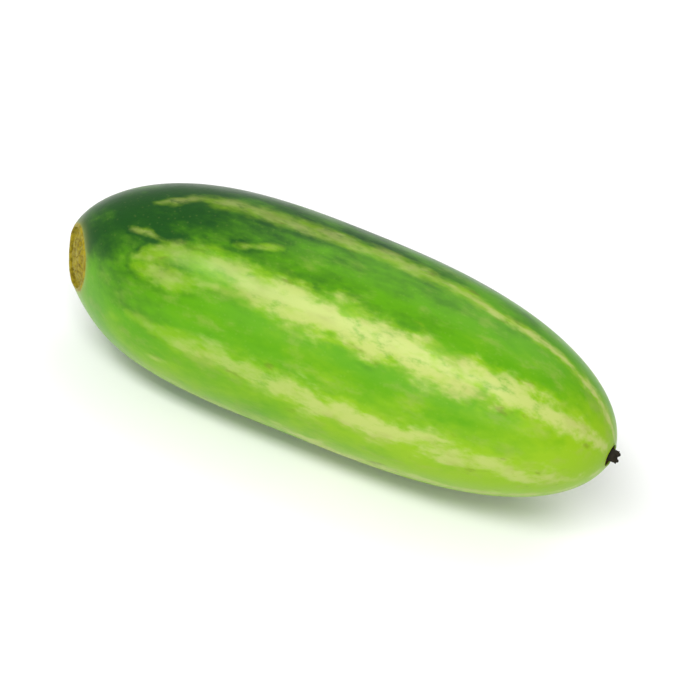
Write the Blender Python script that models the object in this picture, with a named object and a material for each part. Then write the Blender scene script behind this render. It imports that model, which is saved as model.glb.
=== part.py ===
"""Ivy gourd, as picked: one green fruit lying on its side, with the dried flower still on its tip.

The fruit is one solid, a plump body swept along a gently bent middle line. One end has the round
corky scar of the fallen stalk, and the other a shallow pit, in which the dried flower stands.
Metres, +Z up, +X from the stalk scar to the tip, lying on the plane z = 0.
"""

import math

import bmesh
import bpy
from mathutils import Vector

# The fruit's body, measured along its middle line from pole to pole
FRUIT_LENGTH = 0.0570
FRUIT_WIDTH = 0.0212
WIDEST_AT = 0.450  # share of the length, from the stalk end

# The two powers of each half's outline, where 2 and 0.5 would draw an ellipse
STALK_END_SHAPE = (2.85, 0.470)
TIP_END_SHAPE = (2.85, 0.525)

# How the middle line bends: evenly, and with a short hook at the stalk end
EVEN_BEND = math.radians(5.0)
HOOK_TURN = math.radians(36.0)
HOOK_DROP = math.radians(2.0)
HOOK_REACH = 0.083  # share of the length

# Faint flats round the body: (lobes round, height as a share of the radius, phase)
LOBES = ((3, 0.0080, 0.6), (5, 0.0055, 2.1))

# The round scar where the stalk broke off, from its lip to its middle
SCAR_RADIUS = 0.00315
SCAR_LIP_HEIGHT = 0.00012
SCAR_GROOVE_DEPTH = 0.00022
SCAR_PAD_RADIUS = 0.00275
SCAR_PAD_RISE = 0.00050  # above the bottom of the groove round it
SCAR_BUNDLES = 9  # sap channels that stand up in a ring on the pad
SCAR_BUNDLE_RISE = 0.00010
SCAR_BUNDLE_RING = 0.00150

# The pit at the tip, and the dried flower that stands in it
PIT_RADIUS = 0.00108
PIT_DEPTH = 0.00055
PIT_RIM = 0.00022  # width of the rounded rim round the pit
FIT_GAP = 0.0003
FLOWER_RADIUS = PIT_RADIUS - FIT_GAP
FLOWER_HEIGHT = 0.00150
FLOWER_LOBES = 5
FLOWER_LOBE_WIDTH = 0.13  # share of the radius
FLOWER_LOBE_RISE = 0.00012
FLOWER_LEAN = math.tan(math.radians(9.0))

# Its outline from the root up and into the hollow top, as shares: (height, radius, raggedness)
FLOWER_OUTLINE = (
    (0.19, 0.90, 0.0),
    (0.26, 1.00, 0.0),
    (0.45, 1.00, 0.3),
    (0.64, 0.95, 0.7),
    (0.84, 0.90, 0.9),
    (0.96, 0.78, 1.0),
    (0.97, 0.60, 0.9),
    (0.86, 0.40, 0.5),
    (0.80, 0.16, 0.0),
)

# The flat spot that the fruit lies on
FLAT_DEPTH = 0.00020
CUT_SNAP = 0.00001  # a corner this near the cut is moved onto it

# Mesh density
RINGS = 44
SIDES = 60
FLOWER_SIDES = 30

SKIN_GREEN = (0.16, 0.42, 0.03)
SKIN_ROUGHNESS = 0.38
FLOWER_BROWN = (0.05, 0.028, 0.012)
FLOWER_ROUGHNESS = 0.85


def heading(share):
    """Turn towards +Y and climb of the middle line, in radians, at a share of its length."""
    hook = math.exp(-share / HOOK_REACH)
    turn = EVEN_BEND * (1 - 2 * share) + HOOK_TURN * hook
    return turn, HOOK_DROP * hook


def tangent(share):
    turn, climb = heading(share)
    level = math.cos(climb)
    return Vector((level * math.cos(turn), level * math.sin(turn), math.sin(climb)))


def middle_line(share, steps=240):
    """The point of the middle line at a share of its length, with the stalk pole at the origin."""
    point = Vector()
    for i in range(steps):
        point += tangent(share * (i + 0.5) / steps)
    return point * (FRUIT_LENGTH * share / steps)


def radius(share):
    """The body's radius at a share of its length."""
    if share < WIDEST_AT:
        outwards = (WIDEST_AT - share) / WIDEST_AT
        power, root = STALK_END_SHAPE
    else:
        outwards = (share - WIDEST_AT) / (1 - WIDEST_AT)
        power, root = TIP_END_SHAPE
    return FRUIT_WIDTH / 2 * (1 - min(outwards, 1.0) ** power) ** root


def share_where_radius(wanted, low, high):
    """The share of the length, between a pole and the widest place, where the body has this radius."""
    for _ in range(60):
        middle = (low + high) / 2
        if radius(middle) < wanted:
            low = middle
        else:
            high = middle
    return (low + high) / 2


def lobed(angle, share):
    """What the faint flats do to the radius. They fade out towards both poles."""
    fade = math.sin(math.pi * share)
    return 1 + fade * sum(height * math.cos(n * angle + phase) for n, height, phase in LOBES)


def cross_frame(share):
    """The level direction across the middle line, and the one upwards from it."""
    along = tangent(share)
    across = Vector((0, 0, 1)).cross(along).normalized()
    return across, along.cross(across)


def ring_points(share, reach, shift=0.0, relief=None):
    """One closed ring about the middle line. Its angle runs from the top down the -Y side.

    shift moves it along the line towards the tip, and relief(angle) moves each point further."""
    across, up = cross_frame(share)
    along = tangent(share)
    centre = middle_line(share)
    points = []
    for i in range(SIDES):
        angle = 2 * math.pi * i / SIDES
        out = up * math.cos(angle) - across * math.sin(angle)
        moved = shift + (relief(angle) if relief else 0.0)
        points.append(centre + out * (reach * lobed(angle, share)) + along * moved)
    return points


def bundle_relief(angle):
    """The sap channels on the scar's pad. They stand out against the middle line's direction."""
    return -SCAR_BUNDLE_RISE * (1 + math.cos(SCAR_BUNDLES * angle)) / 2


def pad_shift(reach):
    """How far the scar's domed pad lies towards the tip at this distance from its middle."""
    return SCAR_GROOVE_DEPTH - SCAR_PAD_RISE * (1 - (reach / SCAR_PAD_RADIUS) ** 3)


def scar_rings(share):
    """The stalk scar from its middle out to its lip: a low dome in a groove."""
    inner = SCAR_BUNDLE_RING * 0.45
    outer = SCAR_PAD_RADIUS * 0.84
    return [
        ring_points(share, inner, pad_shift(inner)),
        ring_points(share, SCAR_BUNDLE_RING, pad_shift(SCAR_BUNDLE_RING), bundle_relief),
        ring_points(share, outer, pad_shift(outer)),
        ring_points(share, SCAR_PAD_RADIUS, SCAR_GROOVE_DEPTH),
        ring_points(share, SCAR_RADIUS * 0.95, -SCAR_LIP_HEIGHT),
        ring_points(share, SCAR_RADIUS * 1.02, -SCAR_LIP_HEIGHT * 0.5),
    ]


def pit_rings(share):
    """The tip's rounded rim, and the pit inside it down to its floor."""
    return [
        ring_points(share, PIT_RADIUS + PIT_RIM * 0.5, PIT_RIM * 0.35),
        ring_points(share, PIT_RADIUS, PIT_RIM * 0.1),
        ring_points(share, PIT_RADIUS, PIT_RIM - PIT_DEPTH),
        ring_points(share, PIT_RADIUS * 0.5, -PIT_DEPTH),
    ]


def skin_between(bm, rings, first_pole, last_pole):
    """Faces along neighbouring rings, and a fan to a pole at each end."""
    loops = [[bm.verts.new(p) for p in ring] for ring in rings]
    for lower, upper in zip(loops, loops[1:]):
        for i in range(len(lower)):
            j = (i + 1) % len(lower)
            bm.faces.new((lower[i], lower[j], upper[j], upper[i]))
    for loop, pole in ((loops[0], first_pole), (loops[-1], last_pole)):
        centre = bm.verts.new(pole)
        for i in range(len(loop)):
            bm.faces.new((loop[i], loop[(i + 1) % len(loop)], centre))
    bmesh.ops.recalc_face_normals(bm, faces=bm.faces)


def cut_flat_spot(bm):
    """Slices the underside level, closes it with one flat face, and returns the height of that face."""
    level = min(v.co.z for v in bm.verts) + FLAT_DEPTH
    everything = bm.verts[:] + bm.edges[:] + bm.faces[:]
    cut = bmesh.ops.bisect_plane(
        bm, geom=everything, dist=CUT_SNAP, plane_co=(0, 0, level), plane_no=(0, 0, 1), clear_inner=True
    )
    outline = [e for e in cut["geom_cut"] if isinstance(e, bmesh.types.BMEdge)]
    for edge in outline:
        for vert in edge.verts:
            vert.co.z = level
    bmesh.ops.edgeloop_fill(bm, edges=outline)
    bmesh.ops.recalc_face_normals(bm, faces=bm.faces)
    return level


def material(name, colour, roughness):
    made = bpy.data.materials.new(name)
    made.use_nodes = True
    shader = made.node_tree.nodes["Principled BSDF"]
    shader.inputs["Base Color"].default_value = (*colour, 1.0)
    shader.inputs["Roughness"].default_value = roughness
    shader.inputs["Metallic"].default_value = 0.0
    return made


def object_of(bm, name, finish):
    mesh = bpy.data.meshes.new(name)
    bm.to_mesh(mesh)
    bm.free()
    mesh.shade_smooth()
    mesh.set_sharp_from_angle(angle=math.radians(50))
    mesh.materials.append(finish)
    made = bpy.data.objects.new(name, mesh)
    bpy.context.scene.collection.objects.link(made)
    return made


def fruit():
    """The fruit's object, and the height of its flat spot in the object's own frame."""
    scar_at = share_where_radius(SCAR_RADIUS * 1.04, 0.0, WIDEST_AT)
    pit_at = share_where_radius(PIT_RADIUS + PIT_RIM, 1.0, WIDEST_AT)
    rings = scar_rings(scar_at)
    for i in range(RINGS + 1):
        # Even steps of this angle crowd the rings towards the two ends, where the body turns in.
        turn = math.pi * i / RINGS
        share = scar_at + (pit_at - scar_at) * (1 - math.cos(turn)) / 2
        rings.append(ring_points(share, radius(share)))
    rings += pit_rings(pit_at)
    scar_middle = middle_line(scar_at) + tangent(scar_at) * pad_shift(0)
    pit_floor = middle_line(pit_at) - tangent(pit_at) * PIT_DEPTH
    bm = bmesh.new()
    skin_between(bm, rings, scar_middle, pit_floor)
    level = cut_flat_spot(bm)
    finish = material("fruit_skin", SKIN_GREEN, SKIN_ROUGHNESS)
    return object_of(bm, "fruit", finish), level, pit_floor, tangent(pit_at)


def flower_middle(height):
    """The point of the dried flower's leaning middle line at this height over the pit's floor."""
    return Vector((FLOWER_LEAN * height, 0, height))


def flower_ring(height, reach, raggedness):
    """One ring of the dried flower. raggedness lifts and widens its lobes."""
    points = []
    for i in range(FLOWER_SIDES):
        angle = 2 * math.pi * i / FLOWER_SIDES
        lobe = raggedness * (math.cos(FLOWER_LOBES * angle) + 0.45 * math.sin(2 * angle + 0.7))
        out = reach * (1 + FLOWER_LOBE_WIDTH * lobe)
        offset = Vector((out * math.cos(angle), out * math.sin(angle), FLOWER_LOBE_RISE * lobe))
        points.append(flower_middle(height) + offset)
    return points


def dried_flower(pit_floor, outwards):
    """The withered flower: a short shrunken stub with a ragged rim of five lobes."""
    rings = [
        flower_ring(FLOWER_HEIGHT * height, FLOWER_RADIUS * reach, raggedness)
        for height, reach, raggedness in FLOWER_OUTLINE
    ]
    root = flower_middle(FLOWER_HEIGHT * FLOWER_OUTLINE[0][0])
    hollow = flower_middle(FLOWER_HEIGHT * FLOWER_OUTLINE[-1][0])
    bm = bmesh.new()
    skin_between(bm, rings, root, hollow)
    finish = material("dried_flower", FLOWER_BROWN, FLOWER_ROUGHNESS)
    made = object_of(bm, "dried_flower", finish)
    made.rotation_mode = "QUATERNION"
    made.rotation_quaternion = outwards.to_track_quat("Z", "Y")
    made.location = pit_floor
    return made


def lay_on_the_ground(pieces, level):
    """Parents the pieces to an empty that brings them over the origin, with the flat spot at z = 0."""
    bpy.context.view_layer.update()
    corners = [piece.matrix_world @ v.co for piece in pieces for v in piece.data.vertices]
    middle_x = (min(c.x for c in corners) + max(c.x for c in corners)) / 2
    middle_y = (min(c.y for c in corners) + max(c.y for c in corners)) / 2
    whole = bpy.data.objects.new("ivy_gourd", None)
    bpy.context.scene.collection.objects.link(whole)
    whole.location = (-middle_x, -middle_y, -level)
    for piece in pieces:
        piece.parent = whole


def main():
    for old in list(bpy.data.objects):
        bpy.data.objects.remove(old)
    body, level, pit_floor, outwards = fruit()
    flower = dried_flower(pit_floor, outwards)
    lay_on_the_ground((body, flower), level)


main()
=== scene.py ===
"""Ivy gourd: the looks of one green, pale-striped fruit with its corky stalk scar and its dried flower.

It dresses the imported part. The rind is swept along the fruit's middle line by Geometry Nodes, to the
part's own dimensions, and takes the part's place. Metres, +Z up, +X from the stalk scar to the tip.
"""

import math
import random

import bmesh
import bpy
import numpy as np
from mathutils import Matrix, Vector


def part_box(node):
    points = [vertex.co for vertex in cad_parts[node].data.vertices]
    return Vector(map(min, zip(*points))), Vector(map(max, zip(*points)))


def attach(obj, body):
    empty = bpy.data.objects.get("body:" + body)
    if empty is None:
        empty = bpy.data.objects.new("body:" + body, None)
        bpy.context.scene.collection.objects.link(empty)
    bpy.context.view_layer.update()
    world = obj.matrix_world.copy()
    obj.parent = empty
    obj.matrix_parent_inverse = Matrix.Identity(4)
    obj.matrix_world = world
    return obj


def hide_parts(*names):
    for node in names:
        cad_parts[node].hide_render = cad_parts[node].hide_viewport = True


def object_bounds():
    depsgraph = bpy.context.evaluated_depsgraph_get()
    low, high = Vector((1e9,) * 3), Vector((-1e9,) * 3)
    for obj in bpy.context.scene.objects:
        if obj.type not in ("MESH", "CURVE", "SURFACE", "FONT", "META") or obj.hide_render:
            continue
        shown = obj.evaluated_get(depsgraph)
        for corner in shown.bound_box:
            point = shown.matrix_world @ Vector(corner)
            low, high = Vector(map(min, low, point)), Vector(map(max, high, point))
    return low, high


bl_info = {
    "name": "Ivy Gourd",
    "version": (1, 0, 0),
    "blender": (4, 5, 0),
    "location": "3D View > Sidebar > Ivy Gourd",
    "description": "Builds the rind, the stalk scar and the dried flower of an ivy gourd, and its stage",
    "category": "Object",
}

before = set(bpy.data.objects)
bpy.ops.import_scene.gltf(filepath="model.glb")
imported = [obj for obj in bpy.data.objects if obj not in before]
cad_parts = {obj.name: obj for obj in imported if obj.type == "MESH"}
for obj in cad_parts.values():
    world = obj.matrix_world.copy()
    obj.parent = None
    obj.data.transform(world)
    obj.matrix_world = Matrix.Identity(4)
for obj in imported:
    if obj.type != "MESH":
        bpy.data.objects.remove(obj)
CAD_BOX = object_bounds()
BODY = "root"

# Where the ground is, and the middle of the part
GROUND = CAD_BOX[0][2]
MIDDLE = tuple((low + high) / 2 for low, high in zip(*CAD_BOX))

# The outline of each half of the fruit has two powers, where 2 and 0.5 would draw an ellipse
STALK_END_SHAPE = (2.85, 0.470)
TIP_END_SHAPE = (2.85, 0.525)

# Waves round the body and round both rims: (number, height as a share of the radius, phase)
BODY_WAVES = ((3, 0.0080, 0.6), (5, 0.0055, 2.1))
RIM_WAVES = ((2, 0.018, 0.4), (3, 0.024, 1.9), (5, 0.016, 0.7), (11, 0.009, 2.6))
PIT_WAVE_GAIN = 3.0  # how soon the waves are full beside the pit

# Mesh density
SIDES = 236
BODY_RINGS = 300
SCAR_RINGS = 46
PIT_RINGS = 22
MIDDLE_LINE_POINTS = 260
END_ANGLE = 0.04 * math.pi  # what the half turn that spreads the body's rings leaves out at each end

# The scar's outline from its middle out: (radius as a share of the scar's, height in mm, cork, lip)
SCAR_OUTLINE = (
    (0.00, 0.27, 1.0, 0.0),
    (0.22, 0.27, 1.0, 0.0),
    (0.47, 0.21, 1.0, 0.0),
    (0.72, 0.01, 1.0, 0.0),
    (0.82, -0.11, 1.0, 0.0),
    (0.87, -0.20, 1.0, 0.0),
    (0.91, -0.06, 0.9, 0.3),
    (0.95, 0.11, 0.8, 0.6),
    (1.00, 0.09, 0.7, 0.9),
    (1.04, 0.00, 0.6, 1.0),
)

# The pit's outline from the rim to its floor: (radius as a share of the pit's, height in mm)
PIT_OUTLINE = (
    (1.20, 0.00), (1.12, 0.07), (1.02, 0.03), (0.98, -0.10), (0.96, -0.30), (0.50, -0.50), (0.00, -0.52),
)

# How far the cork, the lip and the pit's brown reach past their edges, in mm
CORK_FADE = 0.10
LIP_FADE = 0.18
PIT_FADE = 0.30
# How brown the pit is at its edge, and how much browner each mm of depth makes it
PIT_EDGE_BROWN = 0.3
PIT_BROWN_GROWTH = 4

# Relief of the rind and the cork: scales in waves for each metre, and weights
HOLLOW_SCALE = 95.0
CRACK_SCALE = 1100.0
CRACK_WIDTH = 0.16  # share of a cell
CRACK_WEIGHT = 0.55
CORK_LUMP_SCALE = 1900.0
LIP_WRINKLE_SCALE = 1500.0
LIP_WRINKLE_WEIGHT = 0.25
FULL_CORK = (0.82, 1.0)  # the cork's relief grows between these
BUNDLE_WIDTH = 0.42  # mm

# Stripes that the camera sees: (share along, degrees from the top, half width in mm, paleness)
MAIN_STRIPE = (
    (0.115, 49, 0.3, 0.2), (0.14, 44, 0.7, 0.3), (0.19, 39, 0.9, 0.3), (0.25, 39, 1.1, 0.3),
    (0.33, 42, 1.6, 0.6), (0.45, 45, 1.9, 0.9), (0.58, 46, 1.9, 1.0), (0.70, 46, 1.8, 1.0),
    (0.80, 43, 1.6, 1.0), (0.90, 41, 1.3, 1.0), (0.96, 40, 0.9, 1.0), (0.99, 40, 0.4, 0.9),
)
MAIN_PRONG = (
    (0.120, 53, 0.4, 0.2), (0.15, 54, 0.7, 0.35), (0.20, 55, 0.8, 0.35), (0.25, 53, 0.6, 0.25),
    (0.29, 50, 0.3, 0.2),
)
LOW_STRIPE = (
    (0.13, 86, 0.3, 0.1), (0.20, 87, 0.8, 0.25), (0.34, 87, 1.2, 0.45), (0.50, 91, 1.4, 0.8),
    (0.65, 92, 1.4, 0.9), (0.80, 93, 1.4, 0.8), (0.90, 98, 1.2, 0.7), (0.96, 108, 0.8, 0.7),
    (0.99, 125, 0.4, 0.6),
)
TOP_STRIPE = (
    (0.13, 5, 0.2, 0.1), (0.16, 2, 0.6, 0.25), (0.21, -3, 0.7, 0.25), (0.35, -3, 0.9, 0.3),
    (0.52, -5, 0.9, 0.35), (0.64, -5, 0.7, 0.5), (0.74, -4, 0.5, 0.8), (0.85, -6, 0.45, 0.9),
    (0.95, -8, 0.4, 0.9), (0.99, -12, 0.2, 0.8),
)
SHORT_STREAKS = (
    ((0.10, 27, 0.1, 0.2), (0.13, 30, 0.25, 0.4), (0.165, 34, 0.1, 0.2)),
    (
        (0.29, 25, 0.1, 0.1), (0.31, 24, 0.3, 0.4), (0.325, 22, 0.2, 0.1), (0.345, 20, 0.3, 0.4),
        (0.37, 18, 0.1, 0.1),
    ),
)

# The other stripes, spread evenly over the rest of the round
SEEN_STRIPES = 3  # the main, low and top ones
HIDDEN_START = -4  # degrees from the top
HIDDEN_SHARES = (0.24, 0.33, 0.42, 0.51, 0.60, 0.69, 0.78, 0.88)
STRIPE_POINTS = 60  # on the smooth curve through a stripe's rows

# Ripeness of the underside, and what the other places add to it: partly the rind's own colour, partly
# painted light, lighter underneath, and darker with painted shade on the top, the shoulder and the stalk end
RIPE_AND_LIT_BELOW = 0.78
RIPE_AND_SHADE_UPPER = -0.60
RIPE_AND_SHADE_ALONG = 0.36
RIPE_AND_SHADE_SHOULDER = -0.26
RIPE_BORDER = -0.14
RIPE_TIP = 0.40
RIPE_AND_SHADE_LEAST = 0.05
LIGHTEST_TURN = math.radians(150)  # from the top, where the rind is lightest: ripest, and with painted light

# Noise of the rind and the cork: (waves for each metre, detail, roughness)
DULL_CELLS = (520.0, 4.0, 0.6)
BUFF_PATCHES = (450.0, 3.0, 0.5)
GREEN_FLECKS = (1100.0, 4.0, 0.6)
RUSSET_SPOTS = (760.0, 3.0, 0.5)
CORK_GRAIN = (2600.0, 4.0, 0.7)
CORK_PATCHES = (1500.0, 3.0, 0.5)
CORK_EDGE = (1300.0, 3.0, 0.5)
GLOSS_PATCHES = (260.0, 3.0, 0.5)
SKIN_PORES = (3600.0, 2.0, 0.5)
PALE_DOTS = 1600.0

# Noise that is added to a value, as above with its strength at the end
RIPE_PATCHES = ((110.0, 3.0, 0.5, 0.55), (400.0, 3.0, 0.5, 0.55), (1500.0, 3.0, 0.6, 0.25))
STRIPE_EDGE = ((680.0, 2.0, 0.5, 2.8), (1600.0, 3.0, 0.6, 1.6))
STRIPE_HEART = ((640.0, 3.0, 0.5, 3.0), (1700.0, 3.0, 0.5, 1.0))

# The dried flower's outline from its root to its hollow top: (height in mm, radius in mm, raggedness)
FLOWER_OUTLINE = (
    (-0.55, 0.00, 0.0),
    (-0.55, 0.55, 0.0),
    (-0.44, 0.66, 0.1),
    (-0.16, 0.62, 0.4),
    (0.10, 0.56, 0.7),
    (0.26, 0.50, 0.9),
    (0.36, 0.43, 1.0),
    (0.36, 0.34, 0.9),
    (0.24, 0.24, 0.5),
    (0.14, 0.00, 0.0),
)
FLOWER_RINGS = 40
FLOWER_SIDES = 60
FLOWER_LOBE_WIDTH = 0.16  # share of the radius
FLOWER_LOBE_RISE = 0.40  # mm
FLOWER_SKEW = 0.45
CREASE_SCALE = 2100.0
CRUMPLE_SCALE = 4200.0

# The petal scraps on its rim, in mm, and how far they turn about X, Y and Z by chance
PETAL_RING = 0.26
PETAL_HEIGHT = 0.14
PETAL_REACH = 0.42
PETAL_HALF_WIDTH = 0.30
PETAL_THICKNESS = 0.05
PETAL_ROWS = 9
PETAL_COLUMNS = 5
PETAL_LEAST_TURN = (-0.35, -0.45, -0.5)
PETAL_MOST_TURN = (0.35, 0.35, 0.5)
PETAL_GROWTH = (0.65, 0.95)

# The stage: each softbox's place, its width and height, and its power in watts
SOFTBOXES = {
    "softbox_high": ((-0.06, -0.36, 0.54), (0.60, 0.18), 3.4),
    "softbox_low": ((0.10, -0.62, 0.26), (0.60, 0.30), 1.3),
    "softbox_behind": ((0.05, 0.35, 0.60), (0.50, 0.50), 1.25),
}
ROOM_LIGHT = 0.50
FLOOR_SIZE = 3.0

# The camera's angles, and where the picture's middle lies right of and above the part's middle
CAMERA_AZIMUTH = math.radians(14.0)
CAMERA_ELEVATION = math.radians(37.0)
CAMERA_ROLL = math.radians(13.5)
CAMERA_DISTANCE = 0.62
PICTURE_WIDTH = 0.0667  # in the plane through the part's middle
PICTURE_MIDDLE = (-0.00026, -0.00052)


def mm(value):
    return value / 1000


class GourdSizes(bpy.types.PropertyGroup):
    """The fruit's real dimensions."""

    length: bpy.props.FloatProperty(
        name="Length", description="Length of the middle line from pole to pole",
        default=0.0570, unit="LENGTH",
    )
    width: bpy.props.FloatProperty(
        name="Width", description="Thickness at the widest place",
        default=0.0212, unit="LENGTH",
    )
    widest_at: bpy.props.FloatProperty(
        name="Widest At", description="Share of the length from the stalk end",
        default=0.45, subtype="FACTOR",
    )
    even_bend: bpy.props.FloatProperty(
        name="Even Bend", description="How far each end turns",
        default=math.radians(5.0), subtype="ANGLE",
    )
    hook_turn: bpy.props.FloatProperty(
        name="Hook Turn", description="Extra turn at the stalk pole",
        default=math.radians(36.0), subtype="ANGLE",
    )
    hook_drop: bpy.props.FloatProperty(
        name="Hook Drop", description="How far the stalk pole looks down",
        default=math.radians(2.0), subtype="ANGLE",
    )
    hook_reach: bpy.props.FloatProperty(
        name="Hook Reach", description="Share of the length over which the hook fades",
        default=0.083, subtype="FACTOR",
    )
    flat_depth: bpy.props.FloatProperty(
        name="Flat Depth", description="How much the flat spot takes off the underside",
        default=0.0002, unit="LENGTH",
    )
    dent_depth: bpy.props.FloatProperty(
        name="Dent Depth", description="Depth of the soft hollows in the rind",
        default=0.00012, unit="LENGTH",
    )
    scar_radius: bpy.props.FloatProperty(
        name="Scar Radius", description="Radius of the stalk scar with its lip",
        default=0.00315, unit="LENGTH",
    )
    cork_relief: bpy.props.FloatProperty(
        name="Cork Relief", description="Depth of the cracks in the scar's cork",
        default=0.00022, unit="LENGTH",
    )
    bundle_ring: bpy.props.FloatProperty(
        name="Bundle Ring", description="Radius of the ring of sap channels on the scar",
        default=0.0015, unit="LENGTH",
    )
    bundle_rise: bpy.props.FloatProperty(
        name="Bundle Rise", description="How far the sap channels stand up",
        default=0.00010, unit="LENGTH",
    )
    bundles: bpy.props.IntProperty(
        name="Bundles", description="Sap channels on the scar",
        default=9, min=3, max=20,
    )
    pit_radius: bpy.props.FloatProperty(
        name="Pit Radius", description="Radius of the pit that holds the dried flower",
        default=0.00108, unit="LENGTH",
    )
    pit_rim: bpy.props.FloatProperty(
        name="Pit Rim", description="Width of the rounded rim round the pit",
        default=0.00022, unit="LENGTH",
    )
    flower_lobes: bpy.props.IntProperty(
        name="Flower Lobes", description="Lobes and petal scraps of the dried flower",
        default=5, min=3, max=9,
    )
    flower_crumple: bpy.props.FloatProperty(
        name="Flower Crumple", description="Depth of the dried flower's creases",
        default=0.00016, unit="LENGTH",
    )
    stripes_round: bpy.props.IntProperty(
        name="Stripes Round", description="Pale stripes round the fruit", default=8, min=4, max=14
    )
    seed: bpy.props.IntProperty(name="Seed", description="Seed of every random draw", default=11)


class GourdColours(bpy.types.PropertyGroup):
    """The colours of the rind, the scar and the dried flower, as linear values."""

    # Dark green on the top and the shoulder, and yellow-green underneath, also stand for painted shade and
    # painted light
    dark_green: bpy.props.FloatVectorProperty(
        name="Dark Green", description="Shoulder near the stalk", size=3, subtype="COLOR", min=0, max=1,
        default=(0.007, 0.058, 0.006),
    )
    leaf_green: bpy.props.FloatVectorProperty(
        name="Leaf Green", description="Flanks", size=3, subtype="COLOR", min=0, max=1,
        default=(0.086, 0.290, 0.001),
    )
    yellow_green: bpy.props.FloatVectorProperty(
        name="Yellow Green", description="Underside and tip", size=3, subtype="COLOR", min=0, max=1,
        default=(0.230, 0.410, 0.006),
    )
    pale_stripe: bpy.props.FloatVectorProperty(
        name="Pale Stripe", description="Stripes at their palest", size=3, subtype="COLOR", min=0, max=1,
        default=(0.400, 0.465, 0.122),
    )
    cork: bpy.props.FloatVectorProperty(
        name="Cork", description="The stalk scar's pad", size=3, subtype="COLOR", min=0, max=1,
        default=(0.290, 0.235, 0.010),
    )
    lip: bpy.props.FloatVectorProperty(
        name="Lip", description="The scar's rim and dull patches", size=3, subtype="COLOR", min=0, max=1,
        default=(0.300, 0.320, 0.080),
    )
    rust: bpy.props.FloatVectorProperty(
        name="Rust", description="Cracks, pit and russet marks", size=3, subtype="COLOR", min=0, max=1,
        default=(0.085, 0.045, 0.010),
    )
    withered: bpy.props.FloatVectorProperty(
        name="Withered", description="The dried flower", size=3, subtype="COLOR", min=0, max=1,
        default=(0.012, 0.010, 0.004),
    )


def sizes():
    return bpy.context.scene.gourd_sizes


def colours():
    return bpy.context.scene.gourd_colours


def linked(name, data):
    """A new object in the scene."""
    made = bpy.data.objects.new(name, data)
    bpy.context.scene.collection.objects.link(made)
    return made


# Node building


def add(tree, kind, inputs=None, **settings):
    """Adds a node, sets its properties, and gives each named input a value or a link."""
    made = tree.nodes.new(kind)
    for name, value in settings.items():
        setattr(made, name, value)
    for key, value in (inputs or {}).items():
        if isinstance(value, bpy.types.NodeSocket):
            tree.links.new(value, made.inputs[key])
        else:
            made.inputs[key].default_value = value
    return made


def maths(tree, operation, *values, clamp=False):
    inputs = dict(enumerate(values))
    return add(tree, "ShaderNodeMath", inputs, operation=operation, use_clamp=clamp).outputs[0]


def vectors(tree, operation, *values):
    return add(tree, "ShaderNodeVectorMath", dict(enumerate(values)), operation=operation).outputs[0]


def scaled(tree, vector, factor):
    return add(tree, "ShaderNodeVectorMath", {0: vector, "Scale": factor}, operation="SCALE").outputs[0]


def shaped_tree(name, inputs):
    """An empty geometry tree that takes the named inputs, each with its socket type."""
    tree = bpy.data.node_groups.new(name, "GeometryNodeTree")
    tree.interface.new_socket("Geometry", in_out="INPUT", socket_type="NodeSocketGeometry")
    for label, kind in inputs.items():
        tree.interface.new_socket(label, in_out="INPUT", socket_type=kind)
    tree.interface.new_socket("Geometry", in_out="OUTPUT", socket_type="NodeSocketGeometry")
    return tree, add(tree, "NodeGroupInput").outputs


def finish_tree(tree, geometry, material):
    """Ends a geometry tree with real, smooth faces of one material."""
    real = add(tree, "GeometryNodeRealizeInstances", {"Geometry": geometry}).outputs[0]
    smooth = add(tree, "GeometryNodeSetShadeSmooth", {"Geometry": real, "Shade Smooth": True}).outputs[0]
    painted = add(tree, "GeometryNodeSetMaterial", {"Geometry": smooth, "Material": material}).outputs[0]
    add(tree, "NodeGroupOutput", {"Geometry": painted})


def grown_mesh(name, host_data, tree, values):
    """Runs the tree on a host object and returns its result as a plain mesh object."""
    host = linked(name + "_host", host_data)
    modifier = host.modifiers.new("Grow", "NODES")
    modifier.node_group = tree
    for item in tree.interface.items_tree:
        if item.in_out == "INPUT" and item.name in values:
            modifier[item.identifier] = values[item.name]
    bpy.context.view_layer.update()
    evaluated = host.evaluated_get(bpy.context.evaluated_depsgraph_get())
    mesh = bpy.data.meshes.new_from_object(evaluated)
    mesh.name = name
    host.modifiers.remove(modifier)
    bpy.data.objects.remove(host)
    return linked(name, mesh)


# The fruit's form


def radius(share):
    """The fruit's radius at a share of its length."""
    widest = sizes().widest_at
    if share < widest:
        outwards = (widest - share) / widest
        power, root = STALK_END_SHAPE
    else:
        outwards = (share - widest) / (1 - widest)
        power, root = TIP_END_SHAPE
    return sizes().width / 2 * (1 - min(outwards, 1.0) ** power) ** root


def share_where_radius(wanted, low, high):
    """The share of the length, between a pole and the widest place, where the fruit has this radius."""
    for _ in range(60):
        middle = (low + high) / 2
        if radius(middle) < wanted:
            low = middle
        else:
            high = middle
    return (low + high) / 2


def tangent(share):
    """Direction of the middle line: an even bend, and a hook that fades away from the stalk end."""
    hook = math.exp(-share / sizes().hook_reach)
    turn = sizes().even_bend * (1 - 2 * share) + sizes().hook_turn * hook
    climb = sizes().hook_drop * hook
    return Vector((math.cos(climb) * math.cos(turn), math.cos(climb) * math.sin(turn), math.sin(climb)))


def middle_line():
    """The middle line as a curve object, from pole to pole."""
    curve = bpy.data.curves.new("middle_line", "CURVE")
    curve.dimensions = "3D"
    spline = curve.splines.new("POLY")
    spline.points.add(MIDDLE_LINE_POINTS)
    point = Vector()
    step = 1 / MIDDLE_LINE_POINTS
    for i in range(MIDDLE_LINE_POINTS + 1):
        spline.points[i].co = (*point, 1.0)
        point += tangent((i + 0.5) * step) * sizes().length * step
    return linked("middle_line", curve)


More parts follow.
